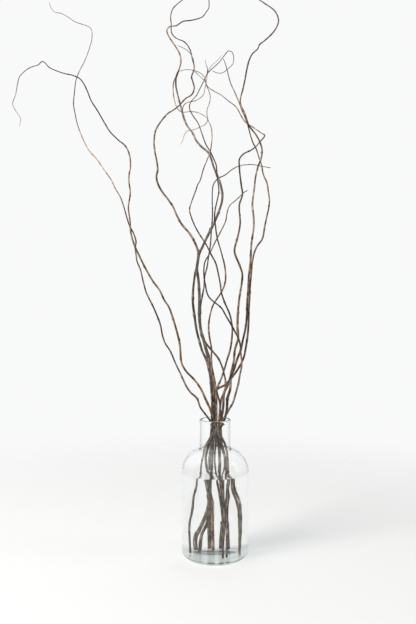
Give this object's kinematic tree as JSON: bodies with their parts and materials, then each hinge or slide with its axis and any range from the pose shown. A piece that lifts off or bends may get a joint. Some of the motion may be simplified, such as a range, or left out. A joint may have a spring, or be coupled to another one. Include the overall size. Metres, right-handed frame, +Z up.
{
  "type": "dry curly branches in glass vase",
  "caption": "Bare, dry corkscrew stems standing loosely in a clear glass bottle vase of water, as a tall table or floor decoration.",
  "frame": {"origin": "middle of the vase's flat foot, on the surface that it stands on", "axes": "+Z up along the vase's axis; +X to the right and -Y towards the viewer in the picture's view; the stems spread widest along X"},
  "size_m": [0.5396, 0.2134, 1.2518],
  "materials": {
    "vase_glass": "clear blown glass with a faint grey-green tint, glossy, thicker and greener in the base and the lip",
    "water": null,
    "golden_bark": "dry golden-brown bark, lightly wrinkled lengthwise, satin",
    "brown_bark": "dry mid-brown bark with lighter streaks and small knots, matt",
    "dark_bark": "dry dark brown to grey-black bark with pale grey streaks and small knots, matt",
    "grey_bark": "dry thin grey-brown bark, matt"
  },
  "bodies": {
    "root": {"vase": "vase_glass", "water": "water", "stem_left_tall": "golden_bark", "stem_left_thin": "grey_bark", "stem_left_wavy": "dark_bark", "stem_thick": "dark_bark", "stem_middle_hook": "brown_bark", "stem_middle_thin": "brown_bark", "stem_short_left": "brown_bark", "stem_short_right": "golden_bark", "stem_right_thin": "brown_bark", "stem_right_loop": "dark_bark", "stem_right_tall": "dark_bark"}
  },
  "joints": []
}
